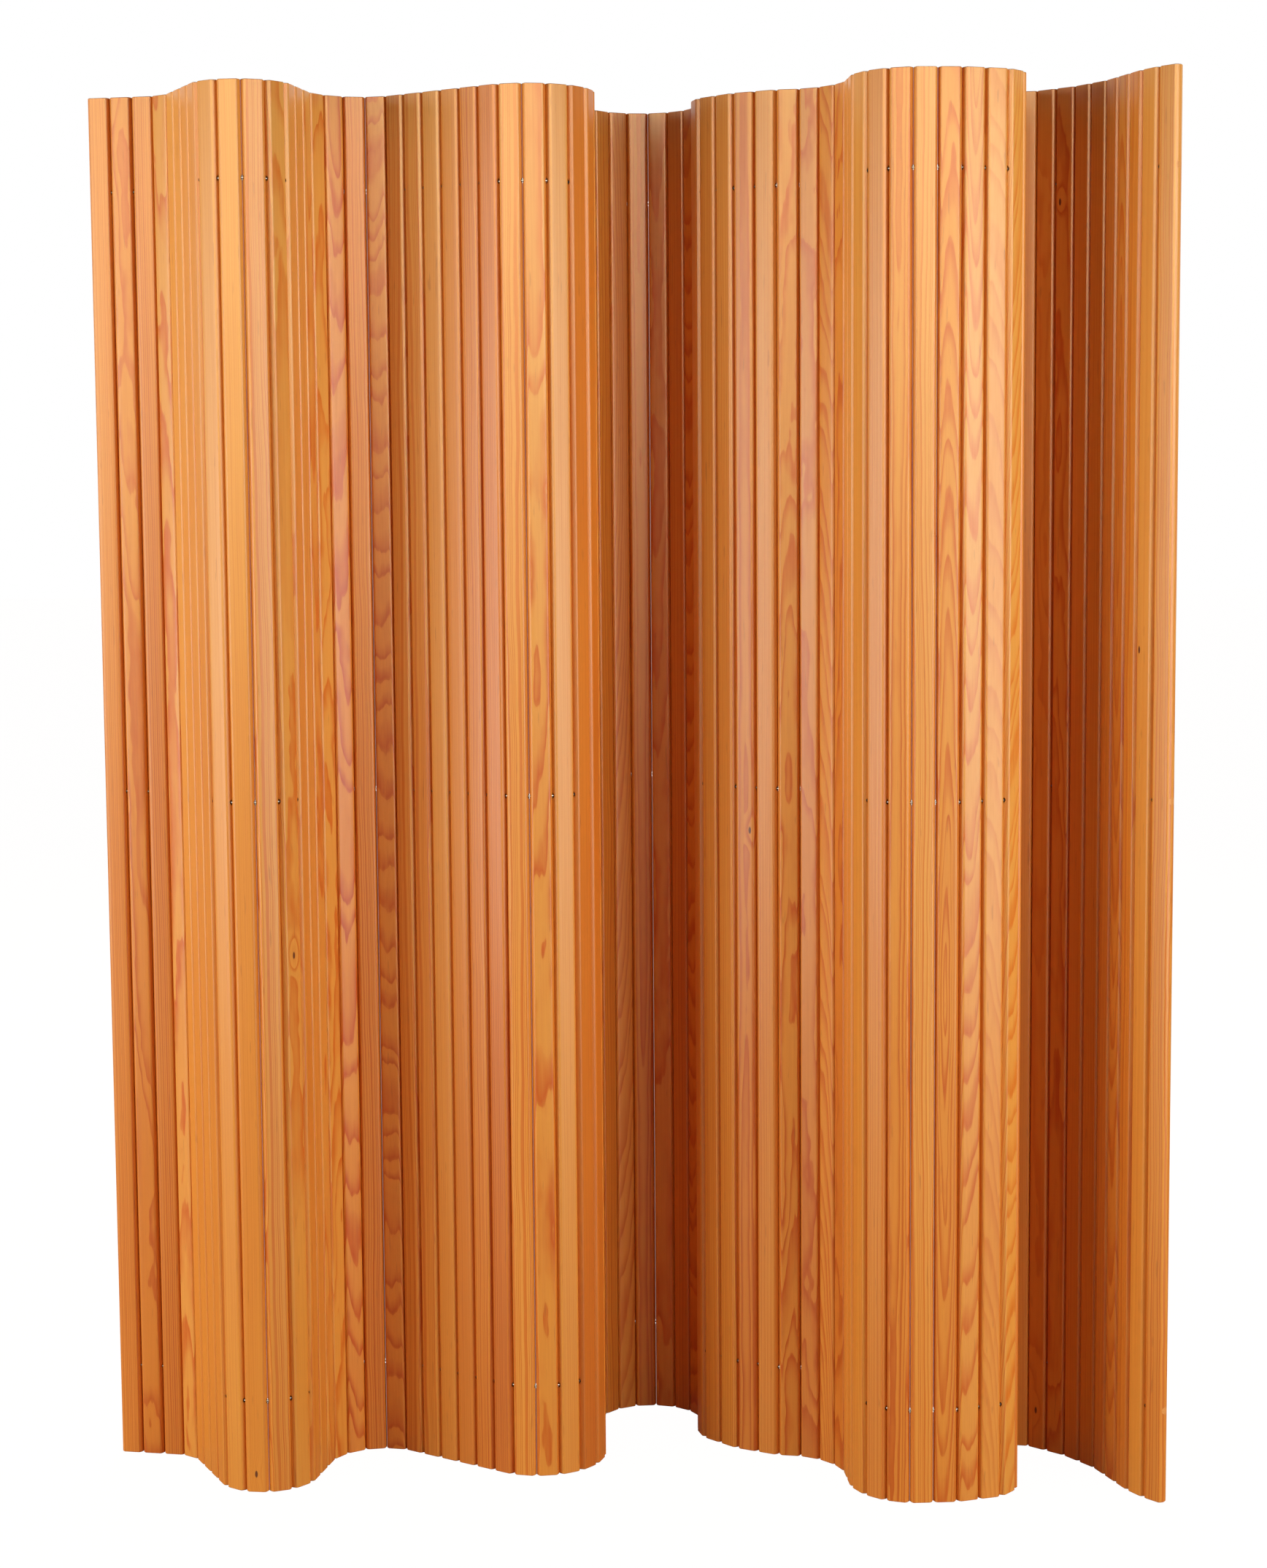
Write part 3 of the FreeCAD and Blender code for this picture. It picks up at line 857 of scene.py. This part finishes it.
def crimped_steel():
    """Dull pressed steel of the stops."""
    material, tree, surface = new_material("crimped_steel")
    place = own_place(tree)
    marks = noise(tree, place, (500, 500, 900), detail=4.0)
    colour = ramp(tree, marks, ((0.3, (0.22, 0.21, 0.2)), (0.7, (0.4, 0.39, 0.37))))
    tree.links.new(colour, surface.inputs["Base Color"])
    tree.links.new(between(tree, marks, 0.3, 0.7, 0.38, 0.58), surface.inputs["Roughness"])
    surface.inputs["Metallic"].default_value = 1.0
    emboss(tree, surface, marks, 0.3, 0.0002)
    return material


fittings = {"left_plugs": plug_pine(), "left_wire_stops": crimped_steel()}
fittings["right_plugs"] = fittings["left_plugs"]
fittings["right_wire_stops"] = fittings["left_wire_stops"]
for name, material in fittings.items():
    mesh = frame["nodes"][name].data
    mesh.materials.clear()
    mesh.materials.append(material)
print("fittings dressed:", sorted(fittings))

# %% [markdown]
# ## Studio
# The photograph is taken on white in a dim room. The world is white to the camera, and also in
# reflections of what is behind the screen, and a dim grey as a source of light, so the hollows fall
# into warm shade. The floor shows the same white, which hides where it ends, and keeps a faint
# shadow at the slats' feet. Under the white it is brown boards, so the light that comes back up
# from it is warm.

# %% World and floor
AMBIENT = 0.05
FLOOR = 30.0
FLOOR_DROP = 0.0005
BOARDS = (0.45, 0.2, 0.07, 1)
WHITE_GLOW = 1.16
GLOW_TO_CAMERA = 0.85
GLOW_IN_MIRRORS = 0.03


def light_path(tree):
    """What kind of ray meets a surface: one for rays of the camera, and one for mirrored rays."""
    path = tree.nodes.new("ShaderNodeLightPath")
    mirrored = maths(tree, "MAXIMUM", path.outputs["Is Glossy Ray"], path.outputs["Is Transmission Ray"])
    return path.outputs["Is Camera Ray"], mirrored


world = bpy.data.worlds.new("studio")
bpy.context.scene.world = world
world.use_nodes = True
sky_tree = world.node_tree
sky = sky_tree.nodes["Background"]
sky.inputs["Color"].default_value = (1, 1, 1, 1)
direct, mirrored = light_path(sky_tree)
toward = parts(sky_tree, sky_tree.nodes.new("ShaderNodeTexCoord").outputs["Generated"])
behind = between(sky_tree, toward["Y"], -0.1, 0.3)
seen = maths(sky_tree, "MAXIMUM", direct, maths(sky_tree, "MULTIPLY", mirrored, behind))
sky_tree.links.new(maths(sky_tree, "MAXIMUM", seen, AMBIENT), sky.inputs["Strength"])

floor_mesh = bpy.data.meshes.new("floor")
floor_mesh.from_pydata(
    [(-FLOOR, -FLOOR, 0), (FLOOR, -FLOOR, 0), (FLOOR, FLOOR, 0), (-FLOOR, FLOOR, 0)], [], [(0, 1, 2, 3)])
floor = bpy.data.objects.new("floor", floor_mesh)
floor.location.z = -FLOOR_DROP
bpy.context.scene.collection.objects.link(floor)

boards, boards_tree, boards_surface = new_material("floor_boards")
boards_surface.inputs["Base Color"].default_value = BOARDS
boards_surface.inputs["Roughness"].default_value = 0.9
glow = boards_tree.nodes.new("ShaderNodeEmission")
glow.inputs["Strength"].default_value = WHITE_GLOW
blend = boards_tree.nodes.new("ShaderNodeMixShader")
direct, mirrored = light_path(boards_tree)
to_camera = maths(boards_tree, "MULTIPLY", direct, GLOW_TO_CAMERA)
in_mirrors = maths(boards_tree, "MULTIPLY", mirrored, GLOW_IN_MIRRORS)
share = maths(boards_tree, "ADD", to_camera, in_mirrors)
boards_tree.links.new(share, blend.inputs[0])
boards_tree.links.new(boards_surface.outputs[0], blend.inputs[1])
boards_tree.links.new(glow.outputs[0], blend.inputs[2])
boards_tree.links.new(blend.outputs[0], boards_tree.nodes["Material Output"].inputs["Surface"])
floor_mesh.materials.append(boards)
print("ambient light of", AMBIENT)

# %% [markdown]
# Two soft lamps stand to the left and right of the camera, as for copying a picture, so the flanks
# of the bulges are bright and the hollows are in shade. They are a little above half the screen's
# height, so their light is about as strong at the tops as at the feet. The wide panel above the
# camera stands for the bright upper wall of the room. It only shows in the lacquer, as the pale
# warm sheen on the upper half of the slats. The high lamp behind the screen is for those who walk
# round it and see the sawn tops; from the front its light does not show.

# %% Lamps
def soft_lamp(name, place, aim, width, height, power):
    """Soft lamp that points at a spot."""
    data = bpy.data.lights.new(name, "AREA")
    data.shape = "RECTANGLE"
    data.size = width
    data.size_y = height
    data.energy = power
    lamp = bpy.data.objects.new(name, data)
    lamp.location = place
    lamp.rotation_euler = (Vector(aim) - Vector(place)).to_track_quat("-Z", "Y").to_euler()
    bpy.context.scene.collection.objects.link(lamp)
    return lamp


soft_lamp("left_lamp", (-2.95, -1.5, 0.95), (-0.1, 0, 0.75), 2.2, 1.8, 79)
soft_lamp("right_lamp", (2.45, -2.35, 0.95), (0.1, 0, 0.75), 2.2, 1.8, 76)
panel = soft_lamp("wall_panel", (0, -3.6, 2.4), (0, 0, 1.2), 8.0, 2.0, 450)
panel.visible_diffuse = False
panel.data.color = (1.0, 0.88, 0.64)
back_lamp = soft_lamp("back_lamp", (0, 3.2, 3.2), (0, 0, 0.8), 3.0, 1.8, 160)
back_lamp.visible_camera = False
back_lamp.visible_glossy = False
bpy.context.scene.view_settings.view_transform = "Standard"
